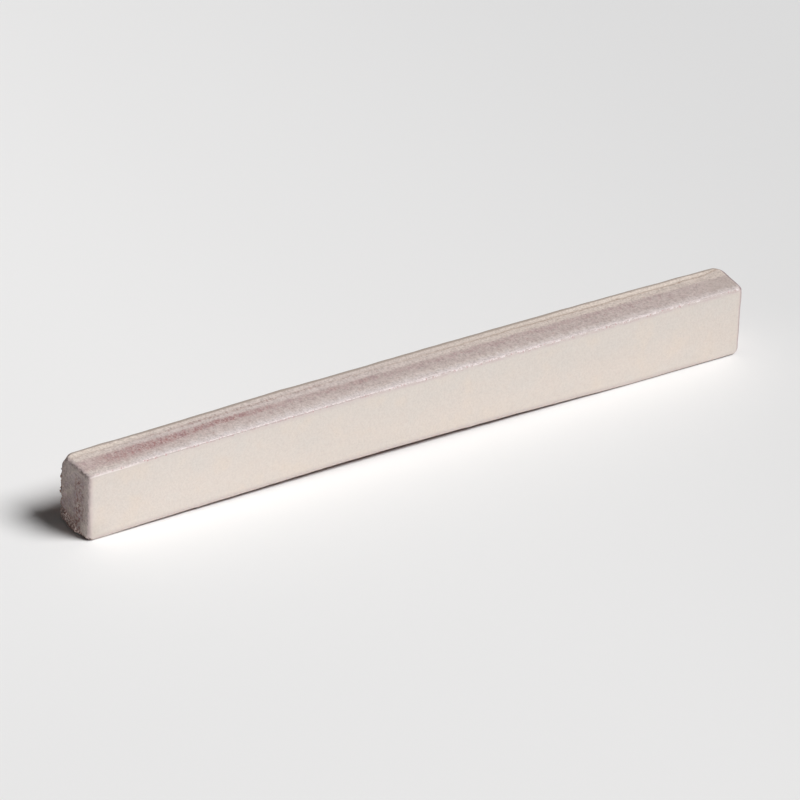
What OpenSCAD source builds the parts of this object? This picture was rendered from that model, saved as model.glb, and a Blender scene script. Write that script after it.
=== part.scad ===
// Flat ceramic molding, also sold as a liner: a short slim bar of fired clay
// with a glazed face, laid in a row along a tiled wall as a trim line.
// It is one solid piece. It stands here on its long lower edge, as it does on
// a table. +X runs along the bar, the glazed front face looks towards -Y, and
// +Z is up. The origin is the middle of its foot, on the surface it stands on.
// All sizes are millimetres.

/* [Size] */
// Length of the bar, measured along its back
length = 152.4; // [100:0.1:300]
// Depth from the glazed front face to the back
depth = 9.8; // [7:0.1:14]
// Height of the left end
left_h = 15.25; // [12:0.05:25]
// Height of the right end, more than the left by up to 1 mm in a hand-made bar
right_h = 15.95; // [12:0.05:25]

/* [Warp left by drying and firing] */
// Rise of the top side, in the middle, over a straight line between its ends
top_crown = 0.6; // [0.1:0.05:1]
// Rise of the underside, in the middle of its arch, over its two feet
bottom_arch = 0.95; // [0.1:0.05:1.5]
// Length of the level foot at the left end
left_foot = 4; // [3:0.5:30]
// Length of the level foot at the right end
right_foot = 28; // [3:0.5:40]
// How far each end leans in between the back and the front face
end_draft = 0.65; // [0:0.05:1.2]

/* [Edges] */
// Radius of the long edge between the front face and the top
front_top_r = 0.7; // [0.3:0.1:1.5]
// Radius of the long edge between the back and the top
back_top_r = 1.1; // [0.3:0.1:2]
// Radius of the two long edges of the underside
bottom_r = 0.5; // [0.3:0.1:1.2]
// Radius of the upright corners of the front face
front_corner_r = 0.7; // [0.3:0.1:1.5]
// Radius of the upright corners of the back
back_corner_r = 1.6; // [0.3:0.1:2.5]
// Radius where the top meets each end
end_top_r = 0.7; // [0.3:0.1:1.5]
// Radius where the underside meets the left end
left_foot_r = 0.7; // [0.3:0.1:1.5]
// Radius where the underside meets the right end
right_foot_r = 1.3; // [0.3:0.1:2]

/* [Hidden] */

// Height at which every outline is sure to have passed the top.
high = max(left_h, right_h) + top_crown;
// Lean of the ends, seen from above.
draft_deg = atan(end_draft / depth);
// Room by which each outline passes the others before they are intersected.
over = 6;
far = 4 * length;
// Stations along the length: a little past both ends, and about 8 mm apart
// over the arch, with one where each level foot begins.
n_arch = ceil((length - left_foot - right_foot) / 8);
stations = concat(
    [-length / 2 - 8],
    [for (i = [0 : n_arch])
        -length / 2 + left_foot + (length - left_foot - right_foot) * i / n_arch],
    [for (i = [1 : 4]) length / 2 - right_foot + (right_foot + 8) * i / 4]
);

// Share of the length at x, from 0 at the left end to 1 at the right.
function share(x) = x / length + 0.5;
// Height of the top side: a line from end to end, with one shallow parabola
// over it.
function top(x) =
    let (t = share(x))
    left_h + (right_h - left_h) * t + 4 * top_crown * t * (1 - t);
// Height of the underside: level feet, with a parabola from one to the other.
function arch(x) =
    let (t = (x + length / 2 - left_foot) / (length - left_foot - right_foot))
    t <= 0 || t >= 1 ? 0 : 4 * bottom_arch * t * (1 - t);

// Points on an arc about c, in n steps from angle a0 to angle a1.
function arc(c, r, a0, a1, n) =
    [for (i = [0 : n]) let (a = a0 + (a1 - a0) * i / n) c + r * [cos(a), sin(a)]];

// Outline that rounds one corner at the origin, whose sides run to -X and -Y:
// n straight facets, all tangent to a radius r, and far beyond them.
function round_mask(r, n) =
    let (
        h = 45 / n,
        v = [for (k = [1 : n - 1]) [-r, -r] + r / cos(h) * [cos(90 * k / n), sin(90 * k / n)]]
    )
    concat(
        [v[0] + far * [sin(h), -cos(h)]],
        v,
        [v[n - 2] + far * [-cos(h), sin(h)]],
        [[-far, -far]]
    );

// The bar seen from the front, with its crowned top and arched underside.
// Its ends and faces run past the bar and are set by footprint().
module elevation() {
    rotate([90, 0, 0])
        linear_extrude(height = depth + 2 * over, center = true)
            polygon(concat(
                [for (x = stations) [x, arch(x)]],
                [for (i = [len(stations) - 1 : -1 : 0]) [stations[i], top(stations[i])]]
            ));
}

// x of the right end plane at a given y, seen from above. The rounded back
// corner is what reaches half the length, so the plane is set by its arc.
function end_x(y) =
    length / 2 - back_corner_r + back_corner_r / cos(draft_deg)
    + (y - depth / 2 + back_corner_r) * tan(draft_deg);

// The bar seen from above: front and back faces, leaning ends, four upright
// corners. The front is shorter than the back by end_draft at each end.
module footprint() {
    d = draft_deg;
    fr = front_corner_r;
    br = back_corner_r;
    // centres of the corner arcs, a radius inside both faces
    fc = [end_x(-depth / 2 + fr) - fr / cos(d), -depth / 2 + fr];
    bc = [length / 2 - br, depth / 2 - br];
    right = concat(arc(fc, fr, -90, -d, 5), arc(bc, br, -d, 0, 1), arc(bc, br, 15, 90, 5));
    translate([0, 0, -over])
        linear_extrude(height = high + 2 * over)
            polygon(concat(
                right,
                [for (i = [len(right) - 1 : -1 : 0]) [-right[i].x, right[i].y]]
            ));
}

// Rounds one long edge in n facets that follow the warp of the side they
// trim. side is -1 for the front and 1 for the back, and up is 1 for the top
// edge and -1 for the lower one. Each facet is the warp line drawn out along
// the facet's own slope.
module long_edge(side, up, r, n) {
    z_edge = up > 0 ? left_h : 0;
    intersection_for (k = [1 : n]) {
        phi = 90 * (k - 0.5) / n;
        translate([0, side * (depth / 2 - r), z_edge - up * r])
            mirror([0, side > 0 ? 1 : 0, 0])
                mirror([0, 0, up < 0 ? 1 : 0])
                    rotate([90 + phi, 0, 0])
                        linear_extrude(height = 8 * high, center = true)
                            polygon(concat(
                                [[stations[0], -4 * high]],
                                [[stations[len(stations) - 1], -4 * high]],
                                [for (i = [len(stations) - 1 : -1 : 0])
                                    [stations[i], r + cos(phi) * warp(up, stations[i])]]
                            ));
    }
}
// How far the warp stands out, at x, from the level that z_edge gives.
function warp(up, x) = up > 0 ? top(x) - left_h : -arch(x);

// Rounds the edge between an end and the top or the underside. side is -1 for
// the left end and 1 for the right. The mask is drawn out along the lean of
// the end, and tilted to the slope that the side has there.
module end_edge(side, up, r) {
    // rise of the top, inwards from this end; the feet are level
    slope = up > 0 ? (4 * top_crown - side * (right_h - left_h)) / length : 0;
    mirror([side < 0 ? 1 : 0, 0, 0])
        translate([end_x(depth / 2), depth / 2, 0])
            rotate([0, 0, -draft_deg])
                translate([0, 0, up > 0 ? (side < 0 ? left_h : right_h) : 0])
                    mirror([0, 0, up < 0 ? 1 : 0])
                        rotate([90, 0, 0])
                            linear_extrude(height = 16 * depth, center = true)
                                rotate(-atan(slope))
                                    polygon(round_mask(r, 4));
}

// The molding: one fired piece, solid all through.
module molding() {
    color([0.88, 0.85, 0.81])
        intersection() {
            footprint();
            elevation();
            long_edge(-1, 1, front_top_r, 4);
            long_edge(1, 1, back_top_r, 5);
            long_edge(-1, -1, bottom_r, 3);
            long_edge(1, -1, bottom_r, 3);
            end_edge(-1, 1, end_top_r);
            end_edge(1, 1, end_top_r);
            end_edge(-1, -1, left_foot_r);
            end_edge(1, -1, right_foot_r);
        }
}

molding();
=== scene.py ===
import math

import bmesh
import bpy
import numpy as np
from mathutils import Matrix, Vector


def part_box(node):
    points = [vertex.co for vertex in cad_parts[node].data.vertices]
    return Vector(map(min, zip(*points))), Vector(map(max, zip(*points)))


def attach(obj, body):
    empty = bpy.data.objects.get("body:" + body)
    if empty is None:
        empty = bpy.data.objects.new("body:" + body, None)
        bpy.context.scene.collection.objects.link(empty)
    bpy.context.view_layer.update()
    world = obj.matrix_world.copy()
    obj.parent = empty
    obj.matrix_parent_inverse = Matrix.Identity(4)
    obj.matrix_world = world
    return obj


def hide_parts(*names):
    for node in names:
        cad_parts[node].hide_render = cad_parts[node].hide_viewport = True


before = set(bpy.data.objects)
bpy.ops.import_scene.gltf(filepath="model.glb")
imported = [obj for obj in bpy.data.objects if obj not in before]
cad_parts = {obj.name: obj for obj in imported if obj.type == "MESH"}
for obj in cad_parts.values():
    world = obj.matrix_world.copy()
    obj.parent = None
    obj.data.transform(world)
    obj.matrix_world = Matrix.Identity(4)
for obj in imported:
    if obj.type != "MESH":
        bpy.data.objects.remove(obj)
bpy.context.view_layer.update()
node_lo, node_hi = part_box("molding")

# ---------------------------------------------------------------------------
# Sizes, in millimetres, in the part's own frame: +X along the bar, the glazed
# front towards -Y, +Z up, and the origin on the floor under its middle.
# ---------------------------------------------------------------------------
L = 152.4
L2 = L / 2
D2 = 4.9
FRONT_H = (15.04, 15.73)           # height of the front's upper edge, left and right
BACK_RISE = 0.16                   # how much higher the back's upper edge is
DRAFT = 0.65                       # each end leans in by this towards the front
LEFT_X, RIGHT_X = -75.85, 76.18    # end planes where they meet the back
LO = np.array(node_lo) * 1000.0
HI = np.array(node_hi) * 1000.0


# ---------------------------------------------------------------------------
# Smooth noise for the shape.
# ---------------------------------------------------------------------------
def _hash(ix, iy, iz, seed):
    h = (ix.astype(np.uint32) * np.uint32(374761393)
         + iy.astype(np.uint32) * np.uint32(668265263)
         + iz.astype(np.uint32) * np.uint32(2246822519)
         + np.uint32((seed * 3266489917) & 0xFFFFFFFF))
    h ^= h >> np.uint32(15)
    h *= np.uint32(2246822519)
    h ^= h >> np.uint32(13)
    h *= np.uint32(3266489917)
    h ^= h >> np.uint32(16)
    return h


def gnoise(p, seed=0):
    """Gradient noise, about -1 to 1, at points p (N, 3)."""
    p = np.asarray(p, float)
    i = np.floor(p).astype(np.int64)
    f = p - i
    u = f * f * f * (f * (f * 6 - 15) + 10)
    out = np.zeros(len(p))
    for dx in (0, 1):
        for dy in (0, 1):
            for dz in (0, 1):
                h = _hash(i[:, 0] + dx, i[:, 1] + dy, i[:, 2] + dz, seed)
                a = (h & np.uint32(0xFFFF)).astype(float) / 65535.0 * 2 * np.pi
                c = (h >> np.uint32(16)).astype(float) / 65535.0 * 2 - 1
                s = np.sqrt(np.maximum(0, 1 - c * c))
                dot = (s * np.cos(a) * (f[:, 0] - dx)
                       + s * np.sin(a) * (f[:, 1] - dy) + c * (f[:, 2] - dz))
                w = ((u[:, 0] if dx else 1 - u[:, 0])
                     * (u[:, 1] if dy else 1 - u[:, 1])
                     * (u[:, 2] if dz else 1 - u[:, 2]))
                out += w * dot
    return out * 1.6


def fbm(p, octaves=3, seed=0, gain=0.5):
    p = np.asarray(p, float)
    out, amp, total = np.zeros(len(p)), 1.0, 0.0
    for k in range(octaves):
        out += amp * gnoise(p * 2.03 ** k + 17.3 * k, seed + 31 * k)
        total += amp
        amp *= gain
    return out / total


def xyz(x, y=0.0, z=0.0):
    x = np.asarray(x, float)
    return np.stack([x, np.broadcast_to(y, x.shape), np.broadcast_to(z, x.shape)], -1)


def smooth(a, b, x):
    t = np.clip((x - a) / (b - a), 0, 1)
    return t * t * (3 - 2 * t)


# ---------------------------------------------------------------------------
# The bar's form: six warped faces and the roundings between them.
# ---------------------------------------------------------------------------
def top_z(x, y):
    s = x / L + 0.5
    w = (y + D2) / (2 * D2)
    z = FRONT_H[0] + (FRONT_H[1] - FRONT_H[0]) * s + 4 * s * (1 - s) * (0.344 + 0.216 * w) + BACK_RISE * w
    # slow dips and swells left by the drying
    z = z + w * (0.10 * np.exp(-((x + 29) / 9) ** 2) - 0.11 * np.exp(-((x + 55) / 11) ** 2)
                 - 0.04 * np.exp(-((x + 12) / 7) ** 2) - 0.08 * np.exp(-((x - 60) / 5) ** 2)
                 - 0.13 * smooth(64, 73, x))
    z = z + 0.020 * gnoise(xyz(x / 6.5, y / 14, 3.0), 5)
    # the glaze stands a little proud of the front arris, unevenly
    lip = np.exp(-((y + D2 - 0.35) / 0.55) ** 2)
    return z + lip * (0.015 + 0.035 * gnoise(xyz(x / 2.1, 6.0, 3.0), 7) + 0.025 * gnoise(xyz(x / 0.8, 2.0, 3.0), 8))


def bottom_z(x, y):
    t = (x + L2 - 4.0) / (L - 32.0)
    z = np.where((t > 0) & (t < 1), 4 * 1.15 * t * (1 - t), 0.0)
    z = z * (1 - 0.17 * np.exp(-((x + 42) / 17) ** 2))
    # a few burrs of glaze hang from the front edge of the foot
    burr = np.exp(-((x + 50.3) / 0.35) ** 2) + 0.7 * np.exp(-((x - 12.0) / 0.9) ** 2) + 0.5 * np.exp(-((x + 22.5) / 0.5) ** 2)
    z = z - 0.14 * burr * smooth(-3.6, -4.6, y) * smooth(0, 0.12, np.clip(t, 0, 1))
    return z + 0.040 * np.abs(gnoise(xyz(x / 4.0, y / 6, 9.0), 6)) * smooth(0, 0.1, np.clip(t, 0, 1))


def tear(y, z):
    """How far a point of the left end is inside the torn patch: the low back
    corner, where the glaze broke off and left the clay bare. Above 0 is inside."""
    edge = np.interp(y, [-4.9, -4.1, -2.2, -1.0, 0.0, 1.4, 2.6, 3.8, 4.4, 5.2],
                     [0.45, 0.7, 1.0, 1.6, 2.4, 2.75, 2.9, 3.6, 4.8, 6.6])
    rough = 0.55 * fbm(xyz(y * 0.9, z * 0.9, 2.0), 3, 21) + 0.35 * gnoise(xyz(y * 3.1, z * 3.1, 5.0), 22)
    return edge + rough - z


def left_x(y, z):
    x = LEFT_X + DRAFT * (D2 - y) / (2 * D2)
    # the pressed clay bulges a little along the back edge, and its rim is torn
    rim = smooth(2.4, 4.6, y) * smooth(14.6, 11.0, z) * smooth(-1.0, 3.0, z)
    x = x - 0.47 * rim
    # its top and front edges are chipped in small steps
    chips = np.maximum(smooth(13.6, 14.9, z), smooth(-3.6, -4.7, y))
    x = x + chips * (0.16 * np.abs(gnoise(xyz(y * 1.2, z * 1.2, 33.0), 47)) + 0.10 * gnoise(xyz(y * 2.6, z * 2.6, 3.0), 48))
    teeth = 0.26 * np.abs(gnoise(xyz(z * 0.45, 3.1, y * 0.18), 41)) + 0.10 * np.abs(gnoise(xyz(z * 1.2, 7.7, y * 0.5), 42)) + 0.08 * gnoise(xyz(z * 3.1, 1.7, y), 49)
    x = x + smooth(3.2, 4.7, y) * (teeth - 0.14)
    # a shallow rough column runs up the middle of the end, where the wire tore it
    column = np.exp(-((y + 1.7 + 0.04 * z) / 1.3) ** 2) * smooth(14.2, 12.5, z)
    x = x + column * (0.04 + 0.16 * np.clip(fbm(xyz(y * 1.7, z * 1.2, 1.0), 3, 43) + 0.15, 0, 1))
    inside = smooth(-0.10, 0.25, tear(y, z))
    # the foot flares out in a burr in its middle, and is worn back behind it
    burr = np.exp(-((y - 0.4) / 2.0) ** 2) * smooth(2.6, 0.2, z)
    x = x + inside * (1 - 0.7 * burr) * (0.20 + 0.26 * fbm(xyz(y * 1.5, z * 1.5, 8.0), 4, 44, 0.7))
    x = x - 0.74 * burr + 0.10 * smooth(2.4, 4.9, y) * smooth(2.6, 0.4, z)
    return x + 0.030 * gnoise(xyz(y / 1.1, z / 1.1, 4.0), 45)


def right_x(y, z):
    x = RIGHT_X - DRAFT * (D2 - y) / (2 * D2)
    x = x + 0.16 * (1 - (y / D2) ** 2) + 0.12 * np.exp(-((z - 13.2) / 1.5) ** 2)
    return x - 0.05 * np.abs(gnoise(xyz(y / 2.4, z / 2.4, 14.0), 46)) - 0.03 * smooth(8, 0, z)


def round_max(a, b, r):
    """The larger of a and b, with the edge between them rounded to radius r."""
    u, v = np.maximum(a + r, 0), np.maximum(b + r, 0)
    return np.hypot(u, v) + np.minimum(np.maximum(a + r, b + r), 0) - r


def knock(p):
    """How far points stand outside the break of the left end's top back corner."""
    n = np.array([-0.591, 0.634, 0.500])
    c = np.array([LEFT_X, D2, FRONT_H[0] + BACK_RISE])
    return (p - c) @ n + 1.28 + 0.16 * fbm(p * 0.9, 3, 51) + 0.07 * gnoise(p * 2.2, 52)


def field(p):
    """Signed distance to the bar's skin, in mm: below 0 inside it."""
    x, y, z = p[:, 0], p[:, 1], p[:, 2]
    up, back, left = z > 7.9, y > 0, x < 0
    qz = np.where(up, z - top_z(x, y), bottom_z(x, y) - z)
    front_in = 0.02 + 0.035 * np.abs(gnoise(xyz(x / 11, 0.0, z / 7), 11))
    qy = np.where(back, y - D2 + 0.02, -y - D2 + front_in)
    qx = np.full(len(p), -20.0)
    cosd = math.cos(math.atan(DRAFT / (2 * D2)))
    a, b = x < -69.0, x > 69.0
    qx[a] = (left_x(y[a], z[a]) - x[a]) * cosd
    qx[b] = (x[b] - right_x(y[b], z[b])) * cosd
    # the upright edges first, so that the bar's outline from above is rounded
    rv = np.where(back, np.where(left, 0.12, 2.4), np.where(left, 0.76 + 0.28 * smooth(4.0, 1.2, z), 0.65))
    plan = round_max(qy, qx, rv)
    # then the edges of the top and the underside, all round that outline
    long_r = np.where(up, np.where(back, 0.96, 0.34), np.where(back, 0.50, 0.42))
    long_r = long_r * (1 + 0.22 * gnoise(xyz(x / 5.0, np.where(back, 3.0, 8.0), np.where(up, 2.0, 6.0)), 13))
    ragged = 1 + 0.30 * gnoise(xyz(y * 0.9, 4.0, 6.0), 14)
    end_r = np.where(up, np.where(left, 0.95 * ragged, 0.80 + 0.45 * smooth(-4.0, 1.0, y)),
                     np.where(left, 0.45 + 0.35 * smooth(-3.0, -4.6, y), 1.5))
    d = round_max(plan, qz, long_r + (end_r - long_r) * smooth(-1.4, 0.4, qx - qy))
    # the top back corner of the left end is knocked off
    k = a & up & back
    d[k] = round_max(d[k], knock(p[k]), 0.40)
    return d


def project(p, rounds=6):
    """Moves points p onto the skin, along the field's slope."""
    e = 0.02
    for _ in range(rounds):
        f = field(p)
        g = np.stack([field(p + d) - f for d in np.eye(3) * e], -1) / e
        p = p - (f / np.maximum((g * g).sum(1), 0.2))[:, None] * g
    return p


# ---------------------------------------------------------------------------
# The mesh: a grid over the six faces of a box, closer near the edges, moved
# onto the skin, with the left end divided further for its torn clay.
# ---------------------------------------------------------------------------
def spaced(a, b, edge, fine, coarse):
    """Values from a to b, fine steps within edge of both ends, coarse between."""
    n = max(1, round(edge / fine))
    head = a + np.arange(n) * edge / n
    tail = b - np.arange(n, -1, -1) * edge / n
    m = max(1, round((b - a - 2 * edge) / coarse))
    mid = a + edge + (b - a - 2 * edge) * np.arange(m) / m
    return np.concatenate([head, mid, tail])


def bar_mesh():
    xs = spaced(LEFT_X + 0.3, RIGHT_X - 0.3, 2.8, 0.24, 0.46)
    ys = spaced(-D2, D2, 1.3, 0.16, 0.55)
    zs = spaced(0.0, 15.5, 1.3, 0.16, 0.55)
    nx, ny, nz = len(xs), len(ys), len(zs)
    index, verts, faces = {}, [], []

    def vert(i, j, k):
        key = (i, j, k)
        if key not in index:
            index[key] = len(verts)
            verts.append((xs[i], ys[j], zs[k]))
        return index[key]

    for i in range(nx - 1):
        for k in range(nz - 1):
            faces.append([vert(i, 0, k), vert(i + 1, 0, k), vert(i + 1, 0, k + 1), vert(i, 0, k + 1)])
            faces.append([vert(i, ny - 1, k), vert(i, ny - 1, k + 1), vert(i + 1, ny - 1, k + 1), vert(i + 1, ny - 1, k)])
        for j in range(ny - 1):
            faces.append([vert(i, j, 0), vert(i, j + 1, 0), vert(i + 1, j + 1, 0), vert(i + 1, j, 0)])
            faces.append([vert(i, j, nz - 1), vert(i + 1, j, nz - 1), vert(i + 1, j + 1, nz - 1), vert(i, j + 1, nz - 1)])
    for j in range(ny - 1):
        for k in range(nz - 1):
            faces.append([vert(0, j, k), vert(0, j, k + 1), vert(0, j + 1, k + 1), vert(0, j + 1, k)])
            faces.append([vert(nx - 1, j, k), vert(nx - 1, j + 1, k), vert(nx - 1, j + 1, k + 1), vert(nx - 1, j, k + 1)])

    # stretch the box to the warped top and underside before it is projected
    v = np.array(verts)
    w = v[:, 2] / 15.5
    v[:, 2] = bottom_z(v[:, 0], v[:, 1]) * (1 - w) + top_z(v[:, 0], v[:, 1]) * w
    me = bpy.data.meshes.new("glazed_bar")
    me.from_pydata([tuple(a) for a in v], [], faces)
    bm = bmesh.new()
    bm.from_mesh(me)
    for limit in (-73.6, -74.4):
        edges = [e for e in bm.edges if all(a.co.x < limit for a in e.verts)]
        bmesh.ops.subdivide_edges(bm, edges=edges, cuts=1, use_grid_fill=True)
    bmesh.ops.triangulate(bm, faces=[f for f in bm.faces if len(f.verts) > 4])
    bm.to_mesh(me)
    bm.free()

    co = np.zeros(len(me.vertices) * 3, np.float32)
    me.vertices.foreach_get("co", co)
    p = project(co.reshape(-1, 3).astype(float))

    # fine relief along the skin's own normal
    e = 0.05
    f = field(p)
    g = np.stack([field(p + d) - f for d in np.eye(3) * e], -1) / e
    n = g / np.maximum(np.linalg.norm(g, axis=1), 1e-6)[:, None]
    torn = np.where(n[:, 0] < -0.25, smooth(-0.1, 0.3, tear(p[:, 1], p[:, 2])), 0) * smooth(-70, -74, p[:, 0])
    skin = 0.012 * fbm(p / 1.6, 3, 61) + 0.010 * gnoise(p / 4.5, 62)
    arris = np.clip(3.2 * n[:, 2] * -n[:, 1], 0, 1)
    nick = -0.10 * arris * np.clip(gnoise(xyz(p[:, 0] * 0.8, 1.0, 2.0), 63) - 0.25, 0, 1)
    grit = 0.11 * torn * fbm(p * 2.3, 3, 64, 0.75)
    p = p + n * (skin + nick + grit)[:, None]
    p = np.clip(p, LO + 0.002, HI - 0.002)
    p[:, 2] = np.where((p[:, 2] < 0.03), 0.0, p[:, 2])

    # what the finish needs to know about each point, from the smooth form
    def put(name, value):
        a = me.attributes.new(name, "FLOAT", "POINT")
        a.data.foreach_set("value", np.asarray(value, np.float32))

    put("face_up", np.clip(n[:, 2], 0, 1))
    put("face_down", np.clip(-n[:, 2], 0, 1))
    put("face_front", np.clip(-n[:, 1], 0, 1))
    put("face_back", np.clip(n[:, 1], 0, 1))
    put("face_left", np.clip(-n[:, 0], 0, 1) * (p[:, 0] < 0))
    put("face_right", np.clip(n[:, 0], 0, 1) * (p[:, 0] > 0))
    put("torn_clay", torn)
    put("knocked", smooth(-0.22, -0.04, knock(p)) * (p[:, 0] < -70))
    put("below_top", top_z(p[:, 0], -D2 + 0 * p[:, 0]) - p[:, 2])
    put("above_foot", p[:, 2] - bottom_z(p[:, 0], -D2 + 0 * p[:, 0]))

    me.vertices.foreach_set("co", (p / 1000.0).astype(np.float32).ravel())
    me.polygons.foreach_set("use_smooth", np.ones(len(me.polygons), bool))
    me.update()
    me.validate()
    return me


# ---------------------------------------------------------------------------
# Node helpers.
# ---------------------------------------------------------------------------
class Nodes:
    def __init__(self, material):
        material.use_nodes = True
        self.t = material.node_tree
        self.t.nodes.clear()
        self.x = 0

    def new(self, kind, **props):
        n = self.t.nodes.new(kind)
        self.x += 40
        n.location = (self.x, -self.x * 0.3)
        for k, v in props.items():
            setattr(n, k, v)
        return n

    def put(self, socket, value):
        if isinstance(value, bpy.types.NodeSocket):
            self.t.links.new(value, socket)
        elif isinstance(value, (tuple, list)):
            socket.default_value = tuple(value) + ((1.0,) if len(value) == 3 and len(socket.default_value) == 4 else ())
        else:
            socket.default_value = value

    def math(self, op, a, b=0.0, c=None, clamp=False):
        n = self.new("ShaderNodeMath", operation=op, use_clamp=clamp)
        self.put(n.inputs[0], a)
        self.put(n.inputs[1], b)
        if c is not None:
            self.put(n.inputs[2], c)
        return n.outputs[0]

    def add(self, a, b):
        return self.math("ADD", a, b)

    def sub(self, a, b):
        return self.math("SUBTRACT", a, b)

    def mul(self, a, b, clamp=False):
        return self.math("MULTIPLY", a, b, clamp=clamp)

    def step(self, x, a, b, out_a=0.0, out_b=1.0, smooth_it=True):
        n = self.new("ShaderNodeMapRange", interpolation_type="SMOOTHSTEP" if smooth_it else "LINEAR", clamp=True)
        for s, v in zip(n.inputs, (x, a, b, out_a, out_b)):
            self.put(s, v)
        return n.outputs[0]

    def vec(self, x, y, z):
        n = self.new("ShaderNodeCombineXYZ")
        for s, v in zip(n.inputs, (x, y, z)):
            self.put(s, v)
        return n.outputs[0]

    def noise(self, v, scale, detail=2.0, rough=0.5, distortion=0.0, signed=False):
        n = self.new("ShaderNodeTexNoise", noise_dimensions="3D")
        self.put(n.inputs["Vector"], v)
        n.inputs["Scale"].default_value = scale
        n.inputs["Detail"].default_value = detail
        n.inputs["Roughness"].default_value = rough
        n.inputs["Distortion"].default_value = distortion
        o = n.outputs["Fac"]
        return self.math("MULTIPLY_ADD", o, 2.0, -1.0) if signed else o

    def ramp(self, fac, stops, interpolation="LINEAR"):
        n = self.new("ShaderNodeValToRGB")
        r = n.color_ramp
        r.interpolation = interpolation
        while len(r.elements) > 1:
            r.elements.remove(r.elements[-1])
        for i, (pos, col) in enumerate(stops):
            e = r.elements[0] if i == 0 else r.elements.new(pos)
            e.position = pos
            col = (col,) * 3 if isinstance(col, (int, float)) else col
            e.color = (*col, 1.0)
        self.put(n.inputs[0], fac)
        return n.outputs[0]

    def mix(self, fac, a, b, blend="MIX"):
        n = self.new("ShaderNodeMix", data_type="RGBA", blend_type=blend, clamp_factor=True)
        self.put(n.inputs[0], fac)
        self.put(n.inputs[6], a)
        self.put(n.inputs[7], b)
        return n.outputs[2]

    def attr(self, name):
        return self.new("ShaderNodeAttribute", attribute_name=name).outputs["Fac"]


def lin(r, g, b):
    """A colour given as 0 to 255 in sRGB, as linear light."""
    return tuple(c / 255 / 12.92 if c / 255 <= 0.04045 else ((c / 255 + 0.055) / 1.055) ** 2.4 for c in (r, g, b))


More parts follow.
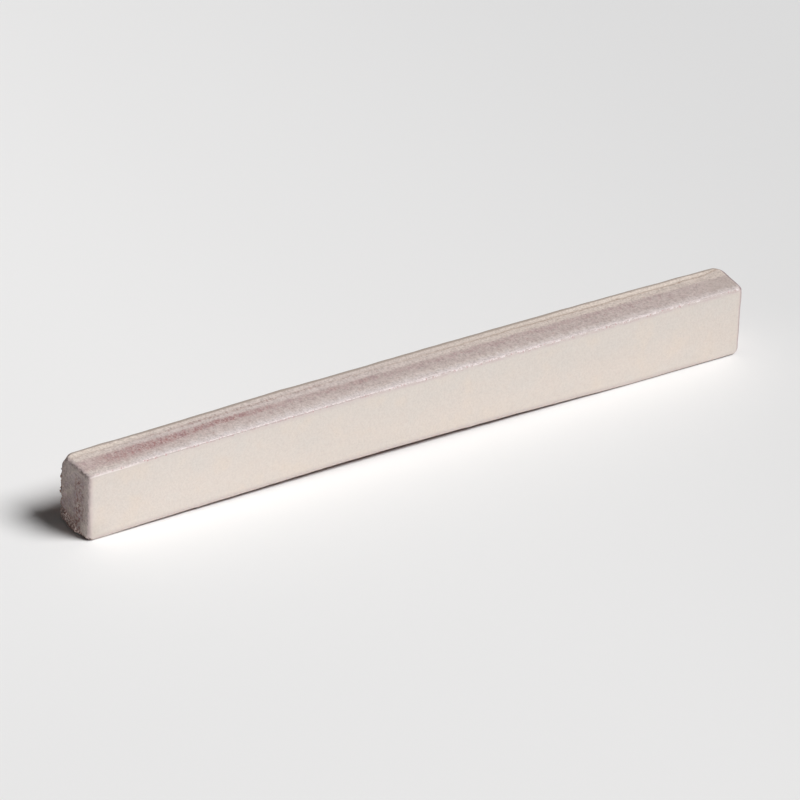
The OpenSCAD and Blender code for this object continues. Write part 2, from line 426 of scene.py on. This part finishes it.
def glaze_material():
    m = bpy.data.materials.new("cream_glaze_on_red_clay")
    k = Nodes(m)
    coord = k.new("ShaderNodeTexCoord").outputs["Object"]
    mm = k.new("ShaderNodeVectorMath", operation="SCALE")
    k.put(mm.inputs[0], coord)
    mm.inputs["Scale"].default_value = 1000.0
    P = mm.outputs[0]
    sep = k.new("ShaderNodeSeparateXYZ")
    k.put(sep.inputs[0], P)
    X, Y, Z = sep.outputs
    up, down, front, back = (k.attr("face_" + n) for n in ("up", "down", "front", "back"))
    left, right = k.attr("face_left"), k.attr("face_right")
    below_top, above_foot, torn = k.attr("below_top"), k.attr("above_foot"), k.attr("torn_clay")
    share = k.step(X, -76.2, 76.2, 0.0, 1.0, False)

    # grain of the fired glaze, from a few tenths of a millimetre upwards
    fine = k.noise(P, 2.3, 2.0, 0.6)
    grain = k.noise(P, 1.0, 3.0, 0.6)
    cloud = k.noise(P, 0.30, 2.0, 0.5)
    slow = k.noise(k.vec(k.mul(X, 0.12), 0.0, 1.7), 1.0, 3.0, 0.6, signed=True)

    def band(v, a0, a1, b0, b1):
        """1 between a1 and b0, fading out to a0 and b1."""
        return k.mul(k.step(v, a0, a1), k.step(v, b0, b1, 1.0, 0.0))

    # --- top side. t runs from the back edge to the front edge, in millimetres
    t0 = k.sub(4.9, Y)
    sway = k.noise(k.vec(k.mul(X, 0.45), 5.0, 1.7), 1.0, 2.0, 0.6, signed=True)
    t = k.math("MULTIPLY_ADD", slow, 0.30, k.math("MULTIPLY_ADD", sway, 0.22, t0))
    t = k.math("MULTIPLY_ADD", k.sub(grain, 0.5), 0.8, t)
    top = k.mix(k.step(X, -20.0, 30.0), lin(199, 186, 181), lin(203, 190, 181))
    top = k.mix(k.step(X, -60.0, -70.0), top, lin(207, 194, 186))
    # thick creamy glaze along the back, heaviest near both ends
    heavy = k.ramp(share, [(0.0, 1.0), (0.08, 0.90), (0.14, 0.55), (0.24, 0.35), (0.38, 0.18), (0.58, 0.25),
                           (0.70, 0.45), (0.78, 0.85), (0.90, 1.0), (1.0, 0.8)])
    bend = k.step(X, 69.5, 75.5, 0.0, 1.15)
    cream = band(k.add(t, bend), 0.9, 1.5, 1.6, 2.9)
    top = k.mix(k.mul(cream, heavy), top, lin(221, 208, 197))
    # the crease where it ends: broken dashes on the left, a thin line on the right
    crease_y = k.math("ABSOLUTE", k.sub(t, k.sub(k.step(X, -60.0, 70.0, 2.62, 2.50, False), bend)))
    pits = k.step(k.noise(k.vec(X, k.mul(Y, 0.8), Z), 1.9, 2.0, 0.6), 0.52, 0.62)
    dash = k.mul(k.step(crease_y, 0.22, 0.60, 1.0, 0.0), pits)
    line = k.mul(k.step(crease_y, 0.05, 0.35, 1.0, 0.0), k.step(X, -10.0, 30.0, 0.35, 0.8))
    top = k.mix(k.mul(dash, k.mul(band(X, -64.0, -54.0, -30.0, 6.0), k.step(X, -30.0, -22.0, 0.85, 0.7))), top, lin(158, 130, 127))
    top = k.mix(line, top, lin(178, 160, 147))
    for spot_x, spot_t, size, deep in ((64.9, 2.5, 0.45, 0.5), (50.2, 2.3, 0.45, 0.4)):
        dx, dt = k.sub(X, spot_x), k.sub(t0, spot_t)
        far = k.math("SQRT", k.add(k.mul(dx, dx), k.mul(dt, dt)))
        top = k.mix(k.step(far, size * 0.3, size, deep, 0.0), top, lin(146, 118, 100))
    # the middle band, where the glaze has run thin over the clay
    end_t = k.ramp(share, [(0.0, 0.81), (0.08, 0.79), (0.14, 0.73), (0.21, 0.68), (0.30, 0.70), (0.40, 0.72),
                           (0.50, 0.76), (0.60, 0.81), (0.70, 0.85), (0.82, 0.87), (0.92, 0.89), (1.0, 0.87)])
    fade = k.ramp(share, [(0.0, 0.4), (0.10, 0.6), (0.20, 1.0), (0.45, 1.0), (0.62, 0.7), (0.80, 0.45), (1.0, 0.35)])
    streak = k.noise(k.vec(k.mul(X, 1.0), k.mul(Y, 0.26), Z), 0.95, 4.0, 0.70, signed=True)
    tf = k.math("MULTIPLY_ADD", streak, 2.1, t0)
    past = k.sub(tf, k.mul(end_t, 10.0))
    spread = k.mul(fade, 1.2)
    thin = k.mul(k.step(t, 3.75, 4.75), k.step(k.math("DIVIDE", past, spread), -1.0, 1.0, 1.0, 0.0))
    top = k.mix(thin, top, k.mix(k.step(X, -70.0, 0.0), lin(194, 177, 172), lin(187, 173, 168)))
    # lavender cast of the glaze that gathers towards the front edge
    lav = k.mix(k.step(X, -45.0, 50.0), lin(217, 207, 205), lin(202, 191, 188))
    lav = k.mix(k.step(X, -60.0, -67.0), lav, lin(207, 195, 190))
    top = k.mix(k.step(tf, 7.6, 9.6), top, lav)

    # clay red that shows through the thin band, in patches of short strokes
    amount = k.ramp(share, [
        (0.000, 0.00), (0.026, 0.05), (0.045, 0.38), (0.075, 0.56), (0.11, 0.72), (0.165, 0.76), (0.172, 0.35), (0.180, 0.74),
        (0.24, 0.66), (0.262, 0.5), (0.305, 0.30), (0.320, 0.12), (0.370, 0.15), (0.385, 0.40), (0.40, 0.15),
        (0.435, 0.35), (0.455, 0.12), (0.60, 0.16), (0.78, 0.14), (0.90, 0.04), (1.0, 0.0)])
    centre = k.ramp(share, [(0.0, 0.57), (0.06, 0.56), (0.12, 0.530), (0.17, 0.505), (0.20, 0.465), (0.25, 0.465), (0.30, 0.48), (0.45, 0.50), (1.0, 0.50)])
    wide = k.ramp(share, [(0.0, 0.17), (0.07, 0.23), (0.13, 0.175), (0.17, 0.14), (0.19, 0.115), (0.32, 0.10), (0.45, 0.10), (1.0, 0.10)])
    away = k.math("DIVIDE", k.math("ABSOLUTE", k.sub(k.mul(t, 0.1), centre)), wide)
    strip = k.step(away, 0.35, 1.0, 1.0, 0.0)
    strokes = k.noise(k.vec(k.mul(X, 1.0), k.mul(Y, 0.40), Z), 2.6, 3.0, 0.75)
    specks = k.step(k.noise(P, 2.9, 2.0, 0.7), 0.36, 0.58, 0.3, 1.0)
    red = k.mul(k.mul(amount, strip), k.mul(k.step(strokes, 0.42, 0.58, 0.10, 1.30), specks), clamp=True)
    top = k.mix(k.mul(k.mul(amount, strip), 0.38), top, lin(176, 148, 146))
    top = k.mix(red, top, lin(150, 101, 100))
    # mauve mottling all along the band
    mauve = k.mul(k.mul(thin, k.step(k.noise(k.vec(X, k.mul(Y, 0.6), k.add(Z, 4.0)), 0.9, 3.0, 0.7), 0.50, 0.64)),
                  k.mul(k.step(t0, 4.6, 7.2, 0.60, 0.25), k.step(X, 60.0, 70.0, 1.0, 0.15)))
    top = k.mix(mauve, top, lin(162, 136, 138))
    # small lone specks in the same clay red, along the whole top
    lone = k.mul(k.step(k.noise(P, 1.9, 2.0, 0.5), 0.64, 0.72), band(t0, 2.0, 3.6, 7.0, 9.0))
    top = k.mix(k.mul(lone, 0.45), top, lin(160, 118, 116))
    # the grain itself
    top = k.mix(1.0, top, k.ramp(fine, [(0.22, 0.74), (0.5, 1.07), (0.78, 1.28)]), "MULTIPLY")
    top = k.mix(1.0, top, k.ramp(grain, [(0.2, (0.90, 0.86, 0.86)), (0.5, (1.0, 1.0, 1.0)), (0.8, (1.06, 1.07, 1.08))]), "MULTIPLY")
    # thin, clay-coloured glaze where the back edge turns over, darkened further with painted shade where the rounding
    # turns away from the light
    edge_t = k.sub(t0, k.mul(band(X, -66.0, -56.0, 32.0, 46.0), 0.22))
    top = k.mix(k.step(edge_t, 1.35, 0.80, 0.0, 0.85), top, lin(170, 156, 145))
    # painted shade: the turned-over front edge faces the light, so its colour is darkened to hold it level with the
    # rest of the top
    top = k.mix(k.step(front, 0.02, 0.45, 0.0, 0.9), top, (0.79, 0.775, 0.775), "MULTIPLY")
    # plainer and a little greyer next to the right end
    top = k.mix(k.mul(k.step(X, 66.0, 72.0, 0.0, 0.35), band(t0, 4.2, 4.8, 8.0, 8.8)), top, lin(186, 173, 165))

    # --- front face: cream with slow clouds, cooler above, warmer below
    drift = k.noise(k.vec(k.mul(X, 0.05), 0.0, k.mul(Z, 0.12)), 1.0, 2.0, 0.5)
    h = k.step(below_top, 0.0, 15.0, 0.0, 1.0, False)
    warm = k.step(k.add(h, k.mul(k.sub(drift, 0.5), 1.4)), 0.10, 0.75)
    face = k.mix(warm, lin(220, 211, 203), lin(222, 211, 202))
    face = k.mix(k.step(X, -10.0, -60.0, 0.0, 0.5), face, lin(226, 216, 208))
    peach = k.noise(P, 0.16, 2.0, 0.55)
    face = k.mix(k.step(peach, 0.50, 0.70, 0.0, 0.38), face, lin(229, 214, 200))
    face = k.mix(k.step(peach, 0.48, 0.30, 0.0, 0.30), face, lin(217, 211, 205))
    face = k.mix(k.step(above_foot, 5.0, 1.5, 0.0, 0.7), face, (0.955, 0.965, 0.965), "MULTIPLY")
    face = k.mix(k.mul(k.step(X, -69.0, -74.5), k.step(Z, 6.0, 1.5)), face, (0.90, 0.91, 0.91), "MULTIPLY")
    face = k.mix(1.0, face, k.ramp(fine, [(0.2, 0.93), (0.5, 1.0), (0.8, 1.05)]), "MULTIPLY")
    face = k.mix(1.0, face, k.ramp(grain, [(0.2, (0.975, 0.955, 0.955)), (0.5, (1.0, 1.0, 1.0)), (0.8, (1.015, 1.02, 1.025))]), "MULTIPLY")
    # pale lavender rim, with broken pink just under the front arris
    rim_x = k.noise(k.vec(k.mul(X, 0.50), 4.0, k.mul(Z, 0.3)), 1.0, 4.0, 0.7)
    rim = k.step(below_top, 0.4, 1.6, 1.0, 0.0)
    face = k.mix(k.mul(rim, k.step(X, -60.0, -20.0, 0.25, 0.6)), face, lin(211, 198, 195))
    zigzag = k.noise(k.vec(k.mul(X, 0.30), 8.0, 1.0), 1.0, 3.0, 0.6, signed=True)
    dip = k.math("MULTIPLY_ADD", zigzag, k.step(X, -20.0, 20.0, 0.15, 0.50), k.sub(below_top, k.step(X, -18.0, 0.0, 0.0, 0.30)))
    pink = k.mul(band(k.sub(dip, k.step(X, -18.0, 0.0, 0.0, 0.18)), -0.15, 0.10, 0.30, 0.62), k.step(rim_x, 0.44, 0.57))
    face = k.mix(k.mul(pink, k.mul(k.step(X, -64.0, -60.0, 0.2, 0.55), k.step(X, -18.0, 0.0, 1.0, 0.8))), face, lin(204, 183, 182))
    # with short white dashes beside it, partly white glaze and partly a painted highlight
    dash_glaze_and_highlight_w = k.mul(band(dip, -0.42, -0.18, 0.00, 0.24), k.step(k.noise(k.vec(X, 6.0, k.mul(Z, 0.5)), 0.85, 2.0, 0.6), 0.46, 0.56))
    face = k.mix(k.mul(dash_glaze_and_highlight_w, k.step(X, -22.0, 0.0, 0.0, 0.95)), face, lin(248, 238, 237))
    # and one unbroken white line next to the left end, partly white glaze and partly a painted highlight
    white = k.mul(band(k.math("MULTIPLY_ADD", zigzag, 0.15, below_top), -0.02, 0.16, 0.36, 0.60), k.step(X, -61.0, -66.0))
    face = k.mix(k.mul(white, 0.85), face, lin(246, 236, 233))
    # painted shade: the turned-over upper edge is lit from above, so its colour is darkened to keep it level with the
    # face
    face = k.mix(k.step(up, 0.06, 0.50), face, (0.70, 0.685, 0.685), "MULTIPLY")
    # small red specks along it
    red_dot = k.mul(band(dip, -0.25, 0.0, 0.20, 0.50), k.step(k.noise(k.vec(X, 2.0, k.mul(Z, 0.6)), 2.4, 2.0, 0.6), 0.56, 0.66))
    # the upright edges are pinkish, as the glaze is thin there
    edge_x = k.math("MAXIMUM", k.step(X, -73.6, -75.2), k.step(X, 74.6, 75.3))
    face = k.mix(k.mul(edge_x, k.step(grain, 0.3, 0.6, 0.45, 0.85)), face, lin(198, 178, 176))
    # painted shade along the lowest millimetre or so of the front, where the face turns under the foot
    face = k.mix(k.mul(k.step(above_foot, 0.5, 1.6, 0.80, 0.0), k.step(X, 64.0, 69.0, 1.0, 0.3)), face, lin(204, 192, 186))
    # painted contact shadow: a dark line along the lowest fraction of a millimetre of the front, darkest towards the
    # right end
    face = k.mix(k.mul(k.step(above_foot, 0.18, 0.40, 0.92, 0.0), k.step(X, 30.0, 48.0)), face, k.mix(k.step(X, 60.0, 70.0), lin(140, 122, 112), lin(70, 58, 52)))
    # a few pinkish specks just over the foot
    foot = k.mul(k.step(above_foot, 0.15, 0.9, 1.0, 0.0), k.step(k.noise(P, 1.7, 2.0, 0.6), 0.48, 0.62))
    face = k.mix(k.mul(foot, 0.5), face, lin(190, 164, 160))

    # --- front arris: a thin light line, partly the glaze's own white and partly a painted highlight, whitest towards the left
    waver = k.noise(k.vec(k.mul(X, 1.0), 9.0, 2.0), 0.9, 3.0, 0.65, signed=True)
    # on the front side of the arris near both ends, and on its top side between
    lower = k.add(k.step(X, -60.0, -67.0, -0.35, 0.75), k.step(X, -18.0, 0.0, 0.0, 0.80))
    arris_glaze_and_highlight_w = k.step(k.math("ABSOLUTE", k.math("MULTIPLY_ADD", waver, 1.3, k.add(k.sub(up, front), lower))), 0.10, 0.45, 1.0, 0.0)
    arris_glaze_and_highlight_w = k.mul(arris_glaze_and_highlight_w, k.mul(k.step(up, 0.10, 0.30), k.step(front, 0.10, 0.30)))
    nubs = k.noise(k.vec(k.mul(X, 1.0), 3.0, 7.0), 1.3, 3.0, 0.6)
    arris_glaze_and_highlight = k.mix(k.step(nubs, 0.55, 0.45), lin(225, 213, 211), lin(183, 164, 163))
    arris_glaze_and_highlight = k.mix(k.step(X, -66.0, -60.0, 0.6, 0.0), arris_glaze_and_highlight, lin(232, 221, 217))
    arris_glaze_and_highlight_w = k.mul(arris_glaze_and_highlight_w, k.mul(k.step(nubs, 0.40, 0.50, 0.35, 1.0), k.step(X, -30.0, 40.0, 1.0, 0.75)))

    # --- ends: thin greyish glaze, mottled, with clay showing in a rough column
    mottle = k.noise(P, 0.55, 3.0, 0.6)
    end = k.ramp(mottle, [(0.34, lin(150, 134, 133)), (0.50, lin(166, 150, 144)), (0.66, lin(180, 165, 157))])
    end = k.mix(k.step(k.noise(P, 0.8, 2.0, 0.6), 0.52, 0.66, 0.0, 0.55), end, lin(168, 150, 156))
    end = k.mix(k.step(Y, -2.8, -4.6), end, lin(184, 169, 164))
    end = k.mix(k.mul(right, 0.8), end, lin(206, 193, 186))
    col_y = k.math("ABSOLUTE", k.add(Y, k.math("MULTIPLY_ADD", Z, 0.04, 1.3)))
    column = k.mul(k.mul(k.step(col_y, 0.5, 2.6, 1.0, 0.0), k.step(Z, 14.0, 12.0)), left)
    blot = k.step(k.noise(P, 1.5, 3.0, 0.75), 0.46, 0.58)
    end = k.mix(k.mul(k.mul(column, blot), 0.85), end, lin(120, 78, 75))
    low = k.mul(k.mul(k.step(k.sub(Z, Y), 9.0, 0.0), k.step(k.noise(P, 1.5, 3.0, 0.7), 0.44, 0.60)), left)
    end = k.mix(k.mul(low, k.step(Y, -2.8, -1.6, 0.0, 0.55)), end, lin(134, 102, 96))
    pale = k.mul(k.mul(k.step(Y, -1.8, -2.8), k.step(Z, 4.6, 2.8)), left)
    end = k.mix(k.mul(pale, 0.85), end, lin(200, 187, 179))
    end = k.mix(k.sub(1.0, k.mul(right, 0.6)), end, k.mix(1.0, end, k.ramp(k.noise(P, 2.3, 2.0, 0.7), [(0.25, 0.62), (0.5, 1.0), (0.75, 1.40)]), "MULTIPLY"))

    # --- bare clay: back, underside and the torn corner
    c1 = k.noise(P, 0.22, 4.0, 0.6)
    c2 = k.noise(P, 1.7, 4.0, 0.65)
    c3 = k.noise(k.vec(k.mul(X, 0.06), Y, k.mul(Z, 0.9)), 1.0, 3.0, 0.6)
    clay = k.ramp(c1, [(0.30, lin(161, 105, 84)), (0.50, lin(178, 121, 99)), (0.70, lin(190, 138, 116))])
    clay = k.mix(k.step(c3, 0.52, 0.70, 0.0, 0.35), clay, lin(200, 156, 136))
    clay = k.mix(k.step(c2, 0.56, 0.70, 0.0, 0.6), clay, lin(214, 178, 160))
    clay = k.mix(k.step(c2, 0.42, 0.28, 0.0, 0.6), clay, lin(122, 76, 62))
    rag = k.step(k.noise(P, 2.9, 3.0, 0.75), 0.44, 0.58)
    broken = k.mix(rag, lin(140, 108, 101), lin(236, 219, 211))
    clay = k.mix(torn, clay, broken)

    # --- join the regions
    w_top = k.step(k.sub(up, front), -0.20, 0.20)
    colour = k.mix(w_top, face, top)
    # the arris line: the glaze's own white with a painted highlight
    colour = k.mix(arris_glaze_and_highlight_w, colour, arris_glaze_and_highlight)
    colour = k.mix(k.mul(k.mul(red_dot, 0.75), k.step(front, 0.3, 0.6)), colour, lin(188, 138, 140))
    side = k.add(left, right)
    ragged_end = k.mul(k.noise(P, 1.5, 2.0, 0.6, signed=True), 0.55)
    w_end = k.step(k.add(k.sub(side, k.math("MAXIMUM", up, front)), ragged_end), -0.05, 0.25)
    colour = k.mix(w_end, colour, end)
    # lavender-pink rim round the end
    rim_end = k.mul(band(side, 0.25, 0.5, 0.75, 0.95), k.math("MAXIMUM", up, front))
    colour = k.mix(k.mul(rim_end, 0.55), colour, lin(214, 196, 196))
    ragged = k.mul(k.sub(grain, 0.5), 0.9)
    w_clay = k.math("MAXIMUM", k.mul(k.step(k.add(k.sub(back, up), ragged), -0.05, 0.25), k.step(back, 0.15, 0.45)), k.step(k.sub(down, front), 0.15, 0.45))
    clay = k.mix(k.mul(down, 0.6), clay, lin(140, 122, 122))
    w_clay = k.math("MAXIMUM", w_clay, torn)
    colour = k.mix(k.mul(k.attr("knocked"), 0.8), colour, lin(150, 122, 112))
    colour = k.mix(w_clay, colour, clay)

    # thin clay-coloured outline all round the right end
    colour = k.mix(k.mul(band(right, 0.12, 0.42, 0.84, 0.97), k.step(up, 0.10, 0.50, 0.48, 0.85)), colour, lin(132, 112, 114))
    # painted light and shade at the left end's foot: the clay just above the floor is lifted with painted light
    colour = k.mix(k.mul(k.step(Z, 1.5, 0.6), k.step(X, -74.6, -75.2)), colour, (1.28, 1.25, 1.25), "MULTIPLY")
    # painted contact shadow: a dark line where the left end meets the floor
    colour = k.mix(k.mul(k.step(Z, 0.36, 0.10, 0.0, 0.95), k.step(X, -74.0, -74.9)), colour, lin(34, 26, 24))
    # its back rim is a thin brownish line of clay
    colour = k.mix(k.mul(k.mul(k.step(X, -75.0, -75.6), k.step(back, 0.10, 0.45)), 0.7), colour, lin(150, 122, 112))

    rough = k.math("MULTIPLY_ADD", k.sub(grain, 0.5), 0.20, 0.47)
    rough = k.add(rough, k.mul(w_clay, 0.40))
    bump_h = k.add(k.mul(k.sub(fine, 0.5), 0.5), k.mul(k.sub(grain, 0.5), 0.6))
    bump_h = k.add(bump_h, k.mul(k.mul(c2, w_clay), 1.6))
    bump = k.new("ShaderNodeBump")
    bump.inputs["Strength"].default_value = 0.5
    bump.inputs["Distance"].default_value = 0.00010
    k.put(bump.inputs["Height"], bump_h)

    b = k.new("ShaderNodeBsdfPrincipled")
    k.put(b.inputs["Base Color"], colour)
    k.put(b.inputs["Roughness"], rough)
    b.inputs["Specular IOR Level"].default_value = 0.45
    k.put(b.inputs["Normal"], bump.outputs[0])
    out = k.new("ShaderNodeOutputMaterial")
    k.put(out.inputs[0], b.outputs[0])
    return m


def floor_material():
    m = bpy.data.materials.new("pale_floor")
    k = Nodes(m)
    coord = k.new("ShaderNodeTexCoord").outputs["Object"]
    n = k.noise(coord, 900.0, 2.0, 0.5)
    mm = k.new("ShaderNodeSeparateXYZ")
    k.put(mm.inputs[0], coord)
    # painted light on the floor: darker towards +X, in place of a lamp's falloff
    painted_falloff = k.step(mm.outputs[0], -0.02, 0.17)
    colour = k.mix(painted_falloff, (0.822, 0.818, 0.816), (0.730, 0.728, 0.728))
    # painted light on the floor: a lighter patch on the left, behind the bar
    painted_light_patch = k.mul(k.step(mm.outputs[0], 0.02, -0.05), k.step(mm.outputs[1], -0.08, 0.03))
    colour = k.mix(painted_light_patch, colour, (0.850, 0.846, 0.843))
    colour = k.mix(k.mul(n, 0.03), colour, (0.70, 0.70, 0.70))
    b = k.new("ShaderNodeBsdfPrincipled")
    k.put(b.inputs["Base Color"], colour)
    b.inputs["Roughness"].default_value = 0.9
    b.inputs["Specular IOR Level"].default_value = 0.1
    out = k.new("ShaderNodeOutputMaterial")
    k.put(out.inputs[0], b.outputs[0])
    return m


# ---------------------------------------------------------------------------
# The piece.
# ---------------------------------------------------------------------------
bar = bpy.data.objects.new("glazed_bar", bar_mesh())
bpy.context.scene.collection.objects.link(bar)
bar.data.materials.append(glaze_material())
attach(bar, "root")
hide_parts("molding")

# ---------------------------------------------------------------------------
# Floor, light and camera.
# ---------------------------------------------------------------------------
scene = bpy.context.scene
scene.view_settings.view_transform = "Standard"
scene.view_settings.look = "None"

fm = bpy.data.meshes.new("floor")
s = 60.0
fm.from_pydata([(-s, -s, 0), (s, -s, 0), (s, s, 0), (-s, s, 0)], [], [(0, 1, 2, 3)])
floor = bpy.data.objects.new("floor", fm)
scene.collection.objects.link(floor)
fm.materials.append(floor_material())

world = bpy.data.worlds.new("studio")
scene.world = world
world.use_nodes = True
bg = world.node_tree.nodes.get("Background") or world.node_tree.nodes.new("ShaderNodeBackground")
bg.inputs["Color"].default_value = (1.0, 1.0, 1.0, 1.0)
bg.inputs["Strength"].default_value = 0.039


def sun(name, direction, strength, angle, colour=(1, 1, 1)):
    d = bpy.data.lights.new(name, "SUN")
    d.energy = strength
    d.angle = math.radians(angle)
    d.color = colour
    o = bpy.data.objects.new(name, d)
    scene.collection.objects.link(o)
    o.rotation_mode = "QUATERNION"
    o.rotation_quaternion = Vector(direction).to_track_quat("Z", "Y")
    return o


KEY_EL = math.radians(51.5)
sun("key", (0.690 * math.cos(KEY_EL), -0.724 * math.cos(KEY_EL), math.sin(KEY_EL)), 3.72, 30.0)
# a weak, low fill from the left, which lifts the shaded end
sun("fill", (-0.96, -0.25, 0.13), 0.315, 30.0)

AZ, EL, ROLL = math.radians(-31.877), math.radians(31.918), math.radians(2.206)
TX, TY, DIST = -1.316, 6.896, 1593.846
back_v = Vector((math.sin(AZ) * math.cos(EL), -math.cos(AZ) * math.cos(EL), math.sin(EL)))
fwd = -back_v
right_v = fwd.cross(Vector((0, 0, 1))).normalized()
up_v = right_v.cross(fwd)
right_r = right_v * math.cos(ROLL) + up_v * math.sin(ROLL)
up_r = -right_v * math.sin(ROLL) + up_v * math.cos(ROLL)
cam_data = bpy.data.cameras.new("camera")
cam_data.lens = 360.0
cam_data.sensor_width = 36.0
cam_data.sensor_fit = "HORIZONTAL"
cam_data.clip_start, cam_data.clip_end = 0.05, 200.0
cam = bpy.data.objects.new("camera", cam_data)
scene.collection.objects.link(cam)
place = (back_v * DIST + right_r * TX + up_r * TY) / 1000.0
cam.matrix_world = Matrix((
    (right_r.x, up_r.x, back_v.x, place.x),
    (right_r.y, up_r.y, back_v.y, place.y),
    (right_r.z, up_r.z, back_v.z, place.z),
    (0, 0, 0, 1)))
scene.camera = cam
